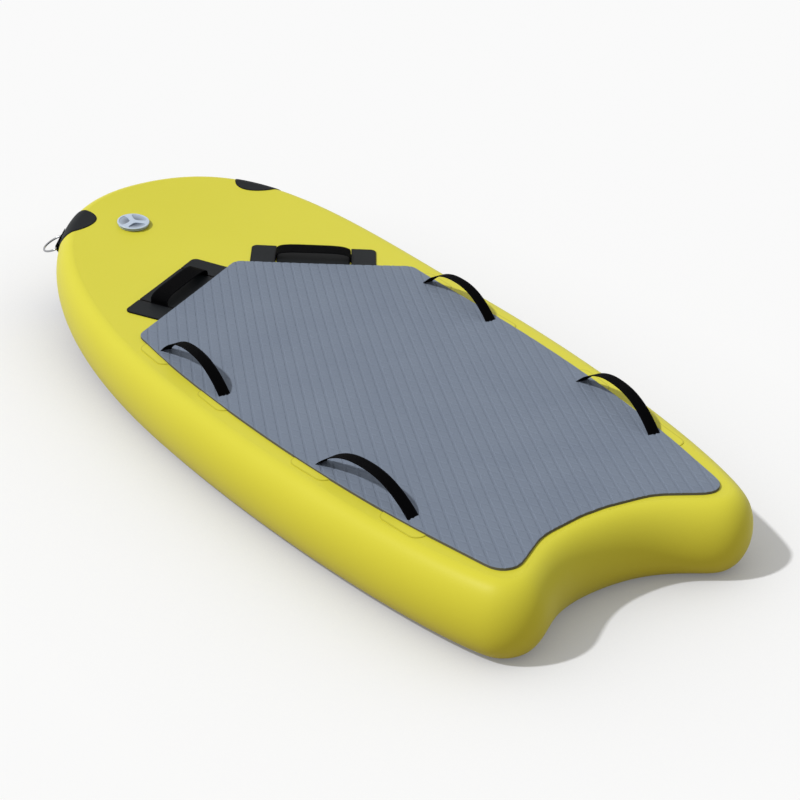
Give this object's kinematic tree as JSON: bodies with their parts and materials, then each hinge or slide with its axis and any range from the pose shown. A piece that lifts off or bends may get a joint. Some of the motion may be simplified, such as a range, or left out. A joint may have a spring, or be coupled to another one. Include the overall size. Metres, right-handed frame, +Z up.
{
  "type": "inflatable rescue sled",
  "caption": "Flat inflatable board with an upturned nose, swallow tail, foam deck pad, webbing grips, tow rings and a screw-in air valve.",
  "frame": {"origin": "on the floor under the middle of the sled's box", "axes": "+Y towards the nose, +X to starboard, +Z up; the flat part of the bottom lies on z = 0"},
  "size_m": [0.85, 1.9, 0.2393],
  "materials": {
    "hull_pvc": "satin",
    "eva_foam": "matte",
    "webbing": "matte",
    "patch_pvc": "matte",
    "valve_plastic": "gloss",
    "seal_rubber": "matte",
    "stainless": "polished"
  },
  "bodies": {
    "hull": {"deck_panel": "hull_pvc", "bottom_panel": "hull_pvc", "rail_wall": "hull_pvc", "deck_pad": "eva_foam", "side_strap_front_left": "webbing", "side_strap_front_right": "webbing", "side_strap_rear_left": "webbing", "side_strap_rear_right": "webbing", "strap_anchor_front_aft_left": "hull_pvc", "strap_anchor_front_aft_right": "hull_pvc", "strap_anchor_front_fore_left": "hull_pvc", "strap_anchor_front_fore_right": "hull_pvc", "strap_anchor_rear_aft_left": "hull_pvc", "strap_anchor_rear_aft_right": "hull_pvc", "strap_anchor_rear_fore_left": "hull_pvc", "strap_anchor_rear_fore_right": "hull_pvc", "bow_handle_left": "webbing", "bow_handle_right": "webbing", "handle_patch_inner_left": "patch_pvc", "handle_patch_inner_right": "patch_pvc", "handle_patch_outer_left": "patch_pvc", "handle_patch_outer_right": "patch_pvc", "knuckle_pad_left": "patch_pvc", "knuckle_pad_right": "patch_pvc", "tow_patch_left": "patch_pvc", "tow_patch_right": "patch_pvc", "tow_tab_left": "webbing", "tow_tab_right": "webbing", "valve_body": "valve_plastic", "valve_gasket": "seal_rubber", "valve_nut": "valve_plastic", "valve_spring": "stainless"},
    "cap_seal_ring": {"cap_seal": "seal_rubber"},
    "cap": {"valve_cap": "valve_plastic"},
    "stem": {"valve_stem": "valve_plastic", "stem_seal": "seal_rubber"},
    "left_ring": {"tow_ring_left": "stainless"},
    "right_ring": {"tow_ring_right": "stainless"}
  },
  "joints": [
    {"name": "cap_lift", "type": "slide", "parent": "hull", "child": "cap_seal_ring", "axis": [0, -0.1616, 0.9869], "range_m": [0, 0.003]},
    {"name": "cap_turn", "type": "hinge", "parent": "cap_seal_ring", "child": "cap", "pos_m": [-0.129, 0.735, 0.20852], "axis": [0, -0.1616, 0.9869], "range_deg": [0, 90]},
    {"name": "valve_press", "type": "slide", "parent": "hull", "child": "stem", "axis": [0, 0.1616, -0.9869], "range_m": [0, 0.006], "stiffness_N_per_m": 600, "springref_m": -0.003, "deforming": ["valve_spring"]},
    {"name": "left_ring_swing", "type": "hinge", "parent": "hull", "child": "left_ring", "pos_m": [-0.28704, 0.81489, 0.17147], "axis": [0.6066, 0.7819, 0.1434], "range_deg": [-63, 107]},
    {"name": "right_ring_swing", "type": "hinge", "parent": "hull", "child": "right_ring", "pos_m": [0.28704, 0.81489, 0.17147], "axis": [0.6066, -0.7819, -0.1434], "range_deg": [-63, 107]}
  ],
  "couplings": [
    {"joint": "cap_lift", "follows": "cap_turn", "m_per_rad": 0.0019099}
  ]
}
